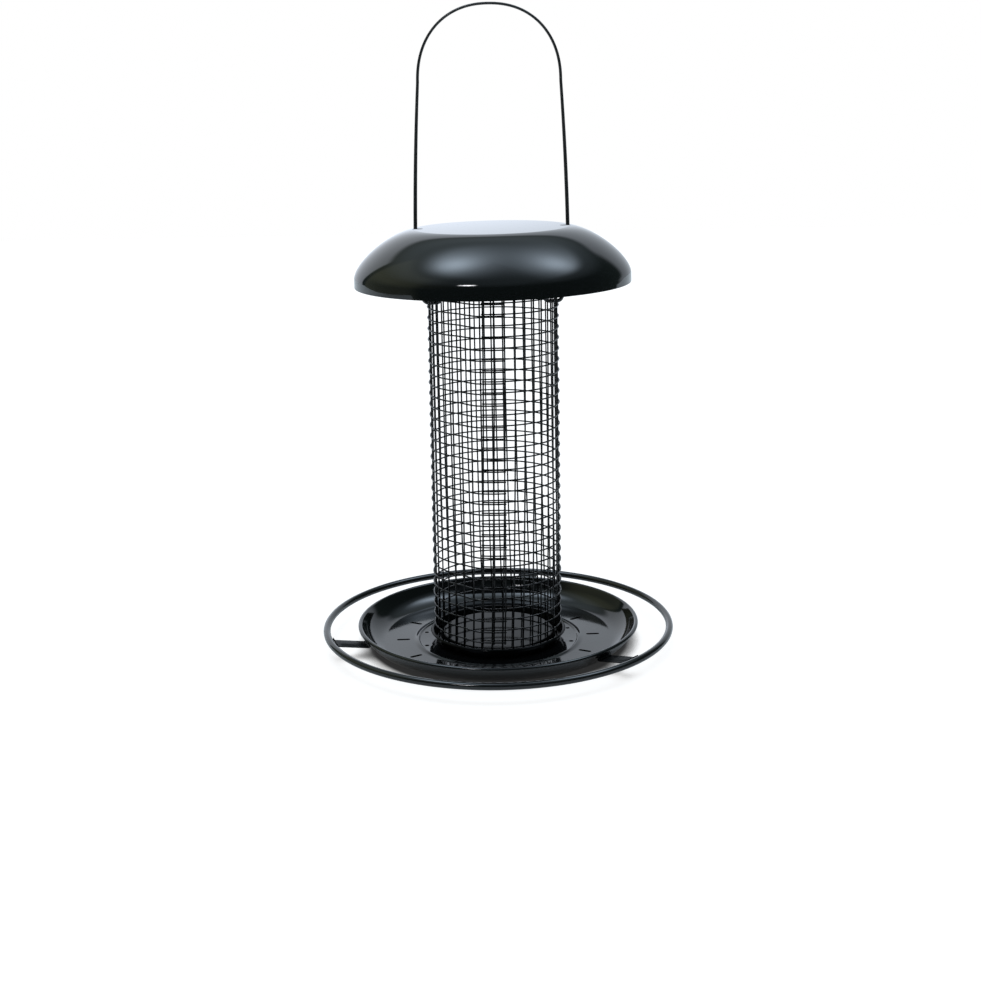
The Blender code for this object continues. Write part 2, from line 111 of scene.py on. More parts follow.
# Roof, measured on its outer side, with the curve's and skirt's heights from the skirt's edge
ROOF_TOP = 0.24765
ROOF_HEIGHT = 0.0319
ROOF_RADIUS = 0.0798
ROOF_TILT = math.radians(-0.58)
ROOF_SHIFT = 0.0002
ROOF_STEPS = 144
DISC_RADIUS = 0.0438
DISC_EDGE = 0.0006
DISC_EDGE_STEPS = 3
SHOULDER_RADIUS = 0.045
SHOULDER_DROP = 0.00009
ROOF_CURVE = ((0.061, 0.0298), (ROOF_RADIUS, 0.0128), (ROOF_RADIUS, 0.0045))
ROOF_CURVE_STEPS = 36
SKIRT = ((ROOF_RADIUS, 0.002), (ROOF_RADIUS, -0.0002))
BAIL_HOLE_PLACE = 0.0424
BAIL_HOLE_RADIUS = 0.0021
BAIL_HOLE_LENGTH = 0.0031
BAIL_HOLE_SIDES = 32
BAIL_HOLE_DEPTH = 0.006

# Tray, measured on its upper side: the dimple's corners have a radius and a height
TRAY_STEPS = 180
DIMPLE = ((0, 0.0026), (0.0055, 0.0026), (0.0064, 0.0024), (0.0086, 0.001), (0.0094, SHEET))
COVE_CENTRE = (0.06803, 0.0138)
COVE_RADIUS = 0.013
COVE_STEPS = 20
WALL_SLOPE = math.radians(67)
BEAD_CENTRE = (0.0825, 0.0113)
BEAD_RADIUS = 0.0013
BEAD_END = -60
BEAD_STEPS = 18
RIDGE_RADIUS = 0.048
RIDGE_HEIGHT = 0.0007
RIDGE_INNER_WIDTH = 0.0012
RIDGE_INNER_HANDLE = 0.0005
RIDGE_OUTER_WIDTH = 0.0032
RIDGE_OUTER_HANDLES = (0.0007, 0.0016)
RIDGE_STEPS = 8
DRAINS = 12
DRAIN_DEPTH = 0.01
SLOT_PLACE = 0.0571
SLOT_LENGTH = 0.008
SLOT_WIDTH = 0.0024
SLOT_END_STEPS = 6
HOLE_PLACE = 0.0445
HOLE_RADIUS = 0.0013
HOLE_SIDES = 16
SCREW_HOLE_RADIUS = 0.0024
SCREW_HOLE_SIDES = 24
SLOT_START = math.radians(2.5)
HOLE_START = math.radians(17.5)

# Base cup: the groove's corners have heights from its base, and the lip's from the rim
CUP_STEPS = 128
CUP_BASE = 0.0019
CUP_FLOOR = 0.0037
CUP_FLOOR_RADIUS = 0.03225
CUP_EDGE_PLACE = 0.0323
CUP_EDGE_RADIUS = 0.0008
CUP_EDGE_END = 10
CUP_EDGE_STEPS = 6
CUP_GROOVE = ((0.0338, 0.0004), (0.0342, 0.0001), (0.0346, 0), (0.036, 0), (0.0364, 0.00025))
CUP_RIM = 0.0054
CUP_INNER_LIP = ((0.0382, -0.0008), (0.0386, -0.0002), (0.039, 0))
CUP_OUTER_LIP = ((0.0396, 0), (0.0401, -0.0003), (0.0404, -0.0008))

# Perch ring
PERCH_RADIUS = 0.1025
PERCH_HEIGHT = 0.0096
PERCH_WIRE_RADIUS = 0.0021
PERCH_STEPS = 180

# Perch brackets: the rib's lifts are shares of its height, along the arm and across the strip
BRACKET_TURNS = {"left": math.radians(198.5), "right": math.radians(318), "rear": math.radians(78)}
BRACKET_WIDTH = 0.012
BRACKET_THICKNESS = 0.0005
BRACKET_BEND = 0.001
BEND_STEPS = 8
FLANGE_TOP = 0.0104
FLANGE_FOOT = 0.0079
ARM_END = 0.0095
LIP_TOP = 0.0112
RIB_HEIGHT = 0.0005
RIB_PLACE_SHARES = (0.08, 0.13, 0.16, 0.5, 0.84, 0.87, 0.92)
RIB_LIFT_SHARES = (0, 0.7, 1, 1, 1, 0.7, 0)
STRIP_HALF_SHARES = ((0.2, 1), (0.24, 0.7), (0.3, 0), (0.5, 0))
STRIP_BEVEL = 0.00012
STRIP_BEVEL_ANGLE = math.radians(60)
STRIP_CRISP_ANGLE = math.radians(50)

# Bail handle, measured on the wire's centre line
BAIL_WIRE_RADIUS = 0.0011
HOOK_RADIUS = 0.040217
HOOK_HEIGHT = 0.20435
BEND_RADIUS = 0.0032
HOOK_REACH = 0.0042
HOOK_TIP = 0.003
LEG_SPREAD = 0.0437
LEG_BOW = 0.0018
LEG_STEPS = 8
SPRING_HEIGHT = 0.3296
ARCH_HALF_WIDTH = 0.0404
ARCH_RISE = 0.043
ARCH_POWER = 2.2
ARCH_STEPS = 40
CROWN_THINNING = 0.3

# Light that the object reflects. Turns are degrees from straight behind the object, positive to
# the right, and lifts are degrees above the table.
ROOM_LIGHT = 0.07
ROOM_COLOUR = (0.7, 1.0, 0.95)
CEILING_LIGHT = 0.19
CEILING_BEHIND = 0.15
CEILING_COLOUR = (0.82, 1.0, 1.16)
SWEEP_COLOUR = (0.93, 1.0, 1.12)
SWEEP_GLOW_COLOUR = (1, 1, 1.05)
LOW_GLOW_COLOUR = (0.88, 0.97, 1.15)
OLIVE = (0.96, 1.0, 0.66)
TOP_GLOW_COLOUR = (1, 1, 0.9)
LAMP_COLOUR = (0.84, 1.0, 1.18)
GLINT_COLOUR = (1, 1, 1.04)

# Boards: left turn, right turn, top lift, strength, softness of the three edges, and lean
BEHIND = (-125, 125, 90, 1, (12, 12, 3))
SWEEP = (-45, 50, 34, 0.48, (1.5, 5, 3), 0.38)
SWEEP_LEFT = (-45, 34, 34, 0.17, (1.5, 16, 3))
SWEEP_MASK = (-45, 50, 36, 1, (1.5, 5, 2))
LEFT_BOARD = (-112, -51, 50, 0.13, (9, 2.5, 5))

# Round lamps: turn, lift, spread in degrees and strength
SWEEP_GLOW = (-22, 12, 20, 0.3)
LOW_GLOW = (-4, 4, 8, 0.45)
LEFT_GLOW = (-80, 31, 22, 0.24)
TOP_GLOW = (0, 41, 16, 0.07)
LEFT_LAMPS = ((-84, 72, 6.5, 3.0), (-80, 73, 13, 3.2))
RIGHT_LAMPS = ((76, 59, 6.5, 2.2), (76, 62, 12, 2.9))
GLINTS = ((-149, 39.6, 1.1, 20), (-153, 40.0, 1.1, 45), (-157, 40.4, 1.1, 60), (-161, 40.8, 1.1, 30))

# Lifts between which a light fades in from below
CEILING_EDGE = (28, 50)
LEFT_GLOW_EDGE = (5, 28)
TOP_GLOW_EDGE = (35, 38)
LEFT_LAMP_EDGE = (50, 66)
RIGHT_LAMP_EDGE = (42, 51)

# Table, with the shares of its colour and glow that the camera sees and of its glow that the
# object mirrors
TABLE_SIDE = 1.6
TABLE_FRONT = -0.62
TABLE_BACK = 2.6
TABLE_DROP = 0.0002
TABLE_COLOUR = (0.8, 0.79, 0.78)
TABLE_ROUGHNESS = 0.6
SEEN_COLOUR_SHARE = 0.25
SEEN_GLOW_SHARE = 0.88
MIRRORED_GLOW_SHARE = 0.1

# Shadow on the table: a firm one that falls to the right and a soft one all round the base
SHADOW_SIDE = (-0.75, 0.1, 0.6)
SHADOW_REACH = 0.014
SHADOW_RANGE = (0.19, 0.46)
SOFT_SHADOW_REACH = 0.011
SOFT_SHADOW_RANGE = (0.1, 0.86)

# Distances from the middle between which the painted shade on the table under the tray turns from dark to
# light, and between which a little stray light is painted into that shade
MIRRORED_SHADE_EDGE = (0.06, 0.095)
SEEN_SHADE_EDGE = (0.0755, 0.0795)
STRAY_EDGE = (0.062, 0.07)
STRAY_LIGHT = 0.03


def add_camera():
    data = bpy.data.cameras.new("photo_camera")
    data.sensor_width = SENSOR_WIDTH
    data.lens = FOCAL_PIXELS * SENSOR_WIDTH / IMAGE_SIZE
    data.shift_y = (AXIS_ROW - IMAGE_SIZE / 2) / IMAGE_SIZE
    data.dof.use_dof = False
    data.clip_start = NEAREST
    across = math.cos(PITCH)
    ahead = Vector((math.sin(YAW) * across, math.cos(YAW) * across, -math.sin(PITCH)))
    level = Vector((math.cos(YAW), -math.sin(YAW), 0))
    upright = level.cross(ahead)
    right = level * math.cos(ROLL) + upright * math.sin(ROLL)
    up = upright * math.cos(ROLL) - level * math.sin(ROLL)
    camera = bpy.data.objects.new("photo_camera", data)
    scene.collection.objects.link(camera)
    turn = Matrix((right, up, -ahead)).transposed()
    camera.matrix_world = Matrix.Translation(EYE) @ turn.to_4x4()
    scene.camera = camera


# Shader nodes


def feed(tree, target, value):
    """Set a socket to a plain value, or link another socket to it."""
    if isinstance(value, bpy.types.NodeSocket):
        tree.links.new(value, target)
    else:
        target.default_value = value


def number_node(tree, operation, *values):
    """A Math node, fed by sockets or plain numbers."""
    node = tree.nodes.new("ShaderNodeMath")
    node.operation = operation
    for target, value in zip(node.inputs, values):
        feed(tree, target, value)
    return node.outputs[0]


def vector_node(tree, operation, *values):
    """A Vector Math node, fed by sockets or plain vectors."""
    node = tree.nodes.new("ShaderNodeVectorMath")
    node.operation = operation
    for target, value in zip(node.inputs, values):
        feed(tree, target, value)
    return node


def scaled_colour(tree, colour, amount):
    node = vector_node(tree, "SCALE", colour)
    feed(tree, node.inputs["Scale"], amount)
    return node.outputs[0]


def ramp(tree, source, low, high):
    """Smooth step from nought at the low end to one at the high end."""
    node = tree.nodes.new("ShaderNodeMapRange")
    node.interpolation_type = "SMOOTHSTEP"
    node.inputs["From Min"].default_value = low
    node.inputs["From Max"].default_value = high
    tree.links.new(source, node.inputs["Value"])
    return node.outputs["Result"]


def switch(tree, factor, first, second):
    """The first number where the factor is nought and the second where it is one."""
    node = tree.nodes.new("ShaderNodeMix")
    tree.links.new(factor, node.inputs[0])
    tree.links.new(first, node.inputs[2])
    tree.links.new(second, node.inputs[3])
    return node.outputs[0]


def noise(tree, scale, detail):
    place = tree.nodes.new("ShaderNodeTexCoord")
    texture = tree.nodes.new("ShaderNodeTexNoise")
    texture.inputs["Scale"].default_value = scale
    texture.inputs["Detail"].default_value = detail
    tree.links.new(place.outputs["Object"], texture.inputs["Vector"])
    return texture.outputs["Fac"]


def vary(tree, source, low, high, target):
    """Drive one of the shader's numbers by a texture, between two values."""
    spread = tree.nodes.new("ShaderNodeMapRange")
    spread.inputs["To Min"].default_value = low
    spread.inputs["To Max"].default_value = high
    tree.links.new(source, spread.inputs["Value"])
    tree.links.new(spread.outputs["Result"], target)


def blend_colours(tree, source, first, second, target):
    mix = tree.nodes.new("ShaderNodeMix")
    mix.data_type = "RGBA"
    mix.inputs["A"].default_value = (*first, 1)
    mix.inputs["B"].default_value = (*second, 1)
    tree.links.new(source, mix.inputs["Factor"])
    tree.links.new(mix.outputs["Result"], target)


def roughen(tree, shader, source, strength, depth):
    bump = tree.nodes.new("ShaderNodeBump")
    bump.inputs["Strength"].default_value = strength
    bump.inputs["Distance"].default_value = depth
    tree.links.new(source, bump.inputs["Height"])
    tree.links.new(bump.outputs["Normal"], shader.inputs["Normal"])


# Materials


def new_material(name):
    material = bpy.data.materials.new(name)
    material.use_nodes = True
    return material, material.node_tree, material.node_tree.nodes["Principled BSDF"]


def black_coat(name, colour, roughness, spread, peel_scale, peel_strength, specular=0.5):
    """Black enamel or powder coat: uneven gloss, a slightly uneven black and a faint peel."""
    material, tree, shader = new_material(name)
    shader.inputs["Specular IOR Level"].default_value = specular
    clouds = noise(tree, CLOUD_SCALE, CLOUD_DETAIL)
    vary(tree, clouds, roughness - spread, roughness + spread, shader.inputs["Roughness"])
    darker = [part * (1 - CLOUD_CONTRAST) for part in colour]
    lighter = [part * (1 + CLOUD_CONTRAST) for part in colour]
    blend_colours(tree, clouds, darker, lighter, shader.inputs["Base Color"])
    roughen(tree, shader, noise(tree, peel_scale, PEEL_DETAIL), peel_strength, PEEL_DEPTH)
    return material


def zinc(name):
    """Bright zinc plating."""
    material, tree, shader = new_material(name)
    shader.inputs["Metallic"].default_value = 1
    grain = noise(tree, GRAIN_SCALE, GRAIN_DETAIL)
    blend_colours(tree, grain, ZINC_DARK, ZINC_LIGHT, shader.inputs["Base Color"])
    vary(tree, grain, *ZINC_ROUGHNESS, shader.inputs["Roughness"])
    return material


def finish_nodes():
    """Give each carried-over CAD node its finish."""
    finishes = {
        "roof": roof_black,
        "bail_handle": bail_black,
        "mesh_upright_wires": mesh_black,
        "mesh_hoop_wires": mesh_black,
        "base_cup": cup_black,
        "tray": tray_black,
        "perch_ring": perch_black,
        "perch_bracket_left": strip_black,
        "perch_bracket_right": strip_black,
        "perch_bracket_rear": strip_black,
        "tray_screw": steel,
        "weld_nut": steel,
    }
    for name, material in finishes.items():
        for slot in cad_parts[name].material_slots:
            slot.material = material


# Shapes


def arc(centre, radius, start, end, steps):
    """Points from one turn to another, both in degrees."""
    turns = [math.radians(start + (end - start) * step / steps) for step in range(steps + 1)]
    return [
        (centre[0] + radius * math.cos(turn), centre[1] + radius * math.sin(turn))
        for turn in turns
    ]


def bezier(points, steps):
    result = []
    for step in range(steps + 1):
        row = [Vector(point) for point in points]
        while len(row) > 1:
            row = [first.lerp(second, step / steps) for first, second in zip(row, row[1:])]
        result.append(tuple(row[0]))
    return result


def smooth(share):
    share = min(max(share, 0), 1)
    return share * share * (3 - 2 * share)


def polar(radius, turn, height):
    return (radius * math.cos(turn), radius * math.sin(turn), height)


def seat(piece, slot, body, *nodes):
    """Hide the CAD nodes that a piece replaces and hang it on the body that it rides on; the finish's
    name is not used.
    """
    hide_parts(*nodes)
    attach(piece, body)


def finish_mesh(piece, crisp_angle=CRISP_ANGLE):
    """Apply a piece's modifiers, then smooth it with crisp edges above an angle."""
    graph = bpy.context.evaluated_depsgraph_get()
    mesh = bpy.data.meshes.new_from_object(piece.evaluated_get(graph))
    piece.modifiers.clear()
    piece.data = mesh
    mesh.shade_smooth()
    mesh.set_sharp_from_angle(angle=crisp_angle)


def revolve(name, outline, steps, material, cutter=None):
    """Turn the upper or outer side of a pressing and thicken it downwards or inwards."""
    mesh = bpy.data.meshes.new(name)
    edges = [(index, index + 1) for index in range(len(outline) - 1)]
    mesh.from_pydata([(point[0], 0, point[1]) for point in outline], edges, [])
    mesh.materials.append(material)
    piece = bpy.data.objects.new(name, mesh)
    scene.collection.objects.link(piece)
    screw = piece.modifiers.new("turn", "SCREW")
    screw.steps = steps
    screw.render_steps = steps
    screw.use_merge_vertices = True
    screw.merge_threshold = MERGE_DISTANCE
    solidify = piece.modifiers.new("sheet", "SOLIDIFY")
    solidify.thickness = SHEET
    solidify.offset = -1
    solidify.use_even_offset = True
    if cutter:
        cut = piece.modifiers.new("cut", "BOOLEAN")
        cut.operation = "DIFFERENCE"
        cut.solver = "EXACT"
        cut.object = cutter
    finish_mesh(piece)
    if cutter:
        bpy.data.objects.remove(cutter, do_unlink=True)
    return piece


def object_from(shape, name):
    mesh = bpy.data.meshes.new(name)
    shape.to_mesh(mesh)
    shape.free()
    piece = bpy.data.objects.new(name, mesh)
    scene.collection.objects.link(piece)
    return piece


def prism(shape, sides, radius, depth, place):
    bmesh.ops.create_cone(
        shape,
        cap_ends=True,
        segments=sides,
        radius1=radius,
        radius2=radius,
        depth=depth,
        matrix=place,
    )


def slot_prism(shape, length, width, depth, place):
    """A round-ended slot along X."""
    reach = (length - width) / 2
    outline = arc((reach, 0), width / 2, -90, 90, SLOT_END_STEPS)
    outline += arc((-reach, 0), width / 2, 90, 270, SLOT_END_STEPS)
    bottom = [shape.verts.new(place @ Vector((x, y, -depth / 2))) for x, y in outline]
    top = [shape.verts.new(place @ Vector((x, y, depth / 2))) for x, y in outline]
    shape.faces.new(reversed(bottom))
    shape.faces.new(top)
    for index in range(len(outline)):
        after = (index + 1) % len(outline)
        shape.faces.new((bottom[index], bottom[after], top[after], top[index]))


def wires(name, groups, material, roundness, closed=False):
    """One curve object of round wires, from lists of paths and each list's wire radius."""
    curve = bpy.data.curves.new(name, "CURVE")
    curve.dimensions = "3D"
    curve.bevel_depth = WIRE_UNIT
    curve.bevel_resolution = roundness
    curve.use_fill_caps = True
    for paths, radius in groups:
        for path in paths:
            spline = curve.splines.new("POLY")
            spline.points.add(len(path) - 1)
            for target, place in zip(spline.points, path):
                target.co = (*place, 1)
                target.radius = radius / WIRE_UNIT
            spline.use_cyclic_u = closed
            spline.use_smooth = True
    curve.materials.append(material)
    piece = bpy.data.objects.new(name, curve)
    scene.collection.objects.link(piece)
    return piece


# Welded mesh tube


def tube_turn(index, height):
    """Direction of an upright, counted from the sheet's inner end to its lapped outer end."""
    inner_lean = max(0, 1 - height / INNER_LEAN_TOP) ** INNER_LEAN_POWER
    outer_lean = max(0, 1 - height / OUTER_LEAN_TOP) ** OUTER_LEAN_POWER
    inner = INNER_LEAD - INNER_LEAN * inner_lean
    outer = OUTER_LEAD - OUTER_LEAN * outer_lean
    share = min(max(index / CELLS, 0), 1)
    return FRONT + CELL_TURN * index + inner + (outer - inner) * share


def hoop_path(row):
    """One wire of the rolled sheet, from its inner end round to its lapped outer end."""
    height = BOTTOM_HOOP + CELL_HEIGHT * row
    start = tube_turn(-1, height) - LAP_STUB
    lap = 2 * (CELL_TURN + LAP_STUB)
    whole = tube_turn(CELLS + 1, height) + LAP_STUB - start
    rise = UPRIGHT_WIRE + HOOP_WIRE * LAP_SHARE
    drop = LAP_DROP + LAP_DROP_SWAY * math.sin(row * LAP_SWAY_TURN)
    points = []
    for index in range(HOOP_STEPS + 1):
        run = whole * index / HOOP_STEPS
        lift = smooth(1 - (whole - lap - run) / LAP_RAMP)
        points.append(polar(HOOP_RADIUS + rise * lift, start + run, height - drop * lift))
    return points


def upright_path(index, radius, low, high):
    heights = [low + (high - low) * step / UPRIGHT_STEPS for step in range(UPRIGHT_STEPS + 1)]
    return [polar(radius, tube_turn(index, height), height) for height in heights]


def make_tube():
    top = ROOF_TOP - SHEET - TUBE_GAP
    weld = (HOOP_WIRE + UPRIGHT_WIRE) * WELD_SHARE
    inner = HOOP_RADIUS - weld
    outer = HOOP_RADIUS + weld
    foot = BOTTOM_HOOP - LAPPED_FOOT
    uprights = [upright_path(index, inner, UPRIGHT_FOOT, top) for index in range(-1, CELLS - 1)]
    for index in range(CELLS - 1, CELLS + 2):
        uprights.append(upright_path(index, outer, foot, top - LAPPED_TOP))
    hoops = [hoop_path(row) for row in range(ROWS)]
    groups = ((uprights, UPRIGHT_WIRE / 2), (hoops, HOOP_WIRE / 2))
    tube = wires("mesh_tube", groups, mesh_black, roundness=1)
    seat(tube, "mesh_coat", "feeder_body", "mesh_upright_wires", "mesh_hoop_wires")


# Pressings


def roof_outline():
    """Outer side from the centre down to the skirt's edge, with heights from that edge."""
    edge = (DISC_RADIUS, ROOF_HEIGHT)
    shoulder = (SHOULDER_RADIUS, ROOF_HEIGHT - SHOULDER_DROP)
    bend = (edge, (DISC_RADIUS + DISC_EDGE, ROOF_HEIGHT), shoulder)
    outline = [(0, ROOF_HEIGHT), edge, *bezier(bend, DISC_EDGE_STEPS)[1:]]
    outline += bezier((shoulder, *ROOF_CURVE), ROOF_CURVE_STEPS)[1:]
    return [*outline, *SKIRT]


def make_roof():
    holes = bmesh.new()
    for side in (-1, 1):
        stretch = Matrix.Diagonal((BAIL_HOLE_LENGTH / BAIL_HOLE_RADIUS, 1, 1, 1))
        spot = Matrix.Translation((side * BAIL_HOLE_PLACE, 0, ROOF_HEIGHT))
        prism(holes, BAIL_HOLE_SIDES, BAIL_HOLE_RADIUS, BAIL_HOLE_DEPTH, spot @ stretch)
    cutter = object_from(holes, "roof_holes")
    roof = revolve("roof_shell", roof_outline(), ROOF_STEPS, roof_black, cutter)
    roof.location = (ROOF_SHIFT, 0, ROOF_TOP - ROOF_HEIGHT)
    roof.rotation_euler.y = ROOF_TILT
    seat(roof, "roof_enamel", "roof_cap", "roof")


def ridge_outline():
    """Low pressed ring in the tray's floor."""
    crest = (RIDGE_RADIUS, SHEET + RIDGE_HEIGHT)
    inner = (RIDGE_RADIUS - RIDGE_INNER_WIDTH, SHEET)
    outer = (RIDGE_RADIUS + RIDGE_OUTER_WIDTH, SHEET)
    low = (inner[0] + RIDGE_INNER_HANDLE, SHEET)
    high = (crest[0] - RIDGE_INNER_HANDLE, crest[1])
    rise = bezier((inner, low, high, crest), RIDGE_STEPS)
    high = (crest[0] + RIDGE_OUTER_HANDLES[0], crest[1])
    low = (outer[0] - RIDGE_OUTER_HANDLES[1], SHEET)
    fall = bezier((crest, high, low, outer), RIDGE_STEPS)
    return rise + fall[1:]


def tray_outline():
    """Upper side of the tray: dimple, floor, ridge, cove, wall and rolled rim."""
    wall_side = math.degrees(WALL_SLOPE)
    outline = [*DIMPLE, *ridge_outline()]
    outline += arc(COVE_CENTRE, COVE_RADIUS, -90, wall_side - 90, COVE_STEPS)
    return outline + arc(BEAD_CENTRE, BEAD_RADIUS, wall_side + 90, BEAD_END, BEAD_STEPS)


def make_tray():
    drains = bmesh.new()
    for index in range(DRAINS):
        turn = 2 * math.pi * index / DRAINS
        spot = Matrix.Rotation(SLOT_START + turn, 4, "Z") @ Matrix.Translation((SLOT_PLACE, 0, 0))
        slot_prism(drains, SLOT_LENGTH, SLOT_WIDTH, DRAIN_DEPTH, spot)
        spot = Matrix.Rotation(HOLE_START + turn, 4, "Z") @ Matrix.Translation((HOLE_PLACE, 0, 0))
        prism(drains, HOLE_SIDES, HOLE_RADIUS, DRAIN_DEPTH, spot)
    prism(drains, SCREW_HOLE_SIDES, SCREW_HOLE_RADIUS, DRAIN_DEPTH * 2, Matrix.Identity(4))
    cutter = object_from(drains, "tray_drains")
    tray = revolve("tray_dish", tray_outline(), TRAY_STEPS, tray_black, cutter)
    seat(tray, "tray_enamel", "feeder_body", "tray")


def make_cup():
    """Raised floor, groove for the tube's foot and a lip that rolls outwards."""
    edge_centre = (CUP_EDGE_PLACE, CUP_FLOOR - CUP_EDGE_RADIUS)
    outline = [(0, CUP_FLOOR), (CUP_FLOOR_RADIUS, CUP_FLOOR)]
    outline += arc(edge_centre, CUP_EDGE_RADIUS, 90, CUP_EDGE_END, CUP_EDGE_STEPS)
    outline += CUP_GROOVE
    outline += [(radius, CUP_RIM + rise) for radius, rise in CUP_INNER_LIP + CUP_OUTER_LIP]
    cup = revolve("cup_dish", outline, CUP_STEPS, cup_black)
    cup.location.z = CUP_BASE
    seat(cup, "tray_enamel", "feeder_body", "base_cup")


# Perch ring and its brackets


def make_perch_ring():
    turns = [2 * math.pi * index / PERCH_STEPS for index in range(PERCH_STEPS)]
    path = [polar(PERCH_RADIUS, turn, PERCH_HEIGHT) for turn in turns]
    groups = (([path], PERCH_WIRE_RADIUS),)
    ring = wires("perch_wire", groups, perch_black, roundness=5, closed=True)
    seat(ring, "perch_coat", "feeder_body", "perch_ring")


def bracket_path():
    """Middle of the strip: flange on the tray's wall, bend, arm and lip against the ring."""
    wall_side = math.degrees(WALL_SLOPE)
    foot = Vector(arc(COVE_CENTRE, COVE_RADIUS, -90, wall_side - 90, 1)[-1])
    skin = (SHEET + TOUCH + BRACKET_THICKNESS / 2) / math.sin(WALL_SLOPE)

    def flange(height):
        return Vector((foot.x + skin + (height - foot.y) / math.tan(WALL_SLOPE), height))

    lip_place = PERCH_RADIUS - PERCH_WIRE_RADIUS - TOUCH - BRACKET_THICKNESS / 2
    lip_centre = (lip_place - BRACKET_BEND, ARM_END + BRACKET_BEND)
    start = flange(FLANGE_FOOT)
    centre = start + BRACKET_BEND * Vector((math.sin(WALL_SLOPE), -math.cos(WALL_SLOPE)))
    slope = math.degrees(math.atan2(ARM_END + BRACKET_BEND * 2 - centre.y, lip_centre[0] - centre.x))
    bend = arc(centre, BRACKET_BEND, wall_side + 90, slope + 270, BEND_STEPS)
    lip = arc(lip_centre, BRACKET_BEND, slope - 90, 0, BEND_STEPS) + [(lip_place, LIP_TOP)]
    rib = [tuple(Vector(bend[-1]).lerp(Vector(lip[0]), share)) for share in RIB_PLACE_SHARES]
    lifts = [0] * (1 + len(bend)) + [*RIB_LIFT_SHARES] + [0] * len(lip)
    return [tuple(flange(FLANGE_TOP)), *bend, *rib, *lip], lifts


def strip_shape():
    """Faces of one strip, with a shallow pressed rib along its arm."""
    left = [(-share, swell) for share, swell in reversed(STRIP_HALF_SHARES)]
    columns = [*left, *STRIP_HALF_SHARES]
    shape = bmesh.new()
    rows = []
    for point, lift in zip(*bracket_path()):
        row = []
        for share, swell in columns:
            height = point[1] + RIB_HEIGHT * lift * swell
            row.append(shape.verts.new((point[0], share * BRACKET_WIDTH, height)))
        rows.append(row)
    for first, second in zip(rows, rows[1:]):
        for index in range(len(columns) - 1):
            corners = (first[index], second[index], second[index + 1], first[index + 1])
            shape.faces.new(corners)
    return shape


def make_bracket(side, turn):
    strip = object_from(strip_shape(), "bracket_strip_" + side)
    strip.data.materials.append(strip_black)
    strip.rotation_euler.z = turn
    solidify = strip.modifiers.new("strip", "SOLIDIFY")
    solidify.thickness = BRACKET_THICKNESS
    solidify.offset = 0
    solidify.use_even_offset = True
    bevel = strip.modifiers.new("edges", "BEVEL")
    bevel.width = STRIP_BEVEL
    bevel.segments = 2
    bevel.limit_method = "ANGLE"
    bevel.angle_limit = STRIP_BEVEL_ANGLE
    finish_mesh(strip, STRIP_CRISP_ANGLE)
    seat(strip, "perch_coat", "feeder_body", "perch_bracket_" + side)


# Bail handle


def bail_half():
    """Centre line from one hook's tip inside the tube to the crown."""
    bend_height = HOOK_HEIGHT + BEND_RADIUS
    leg_bend = HOOK_RADIUS - BEND_RADIUS
    tip_bend = leg_bend - HOOK_REACH
    half = [(tip_bend - BEND_RADIUS, bend_height + HOOK_TIP)]
    half += arc((tip_bend, bend_height), BEND_RADIUS, 180, 270, BEND_STEPS)
    half += arc((leg_bend, bend_height), BEND_RADIUS, -90, 0, BEND_STEPS)
    for step in range(LEG_STEPS):
        share = step / LEG_STEPS
        out = LEG_SPREAD + (ARCH_HALF_WIDTH - LEG_SPREAD) * share + LEG_BOW * share * (1 - share)
        half.append((out, ROOF_TOP + (SPRING_HEIGHT - ROOF_TOP) * share))
    for step in range(ARCH_STEPS):
        turn = math.pi / 2 * step / ARCH_STEPS
        across = ARCH_HALF_WIDTH * math.cos(turn) ** (2 / ARCH_POWER)
        half.append((across, SPRING_HEIGHT + ARCH_RISE * math.sin(turn) ** (2 / ARCH_POWER)))
    return half


def make_bail():
    """One wire, thinner towards its crown. The enamel doesn't mirror it."""
    half = bail_half()
    path = [(x, 0, z) for x, z in half]
    path.append((0, 0, SPRING_HEIGHT + ARCH_RISE))
    path += [(-x, 0, z) for x, z in reversed(half)]
    bail = wires("bail_wire", (([path], BAIL_WIRE_RADIUS),), bail_black, roundness=4)
    bail.visible_glossy = False
    crown = SPRING_HEIGHT + ARCH_RISE - ROOF_TOP
    for point in bail.data.splines[0].points:
        point.radius *= 1 - CROWN_THINNING * smooth((point.co.z - ROOF_TOP) / crown)
    seat(bail, "bail_coat", "bail", "bail_handle")


# Studio


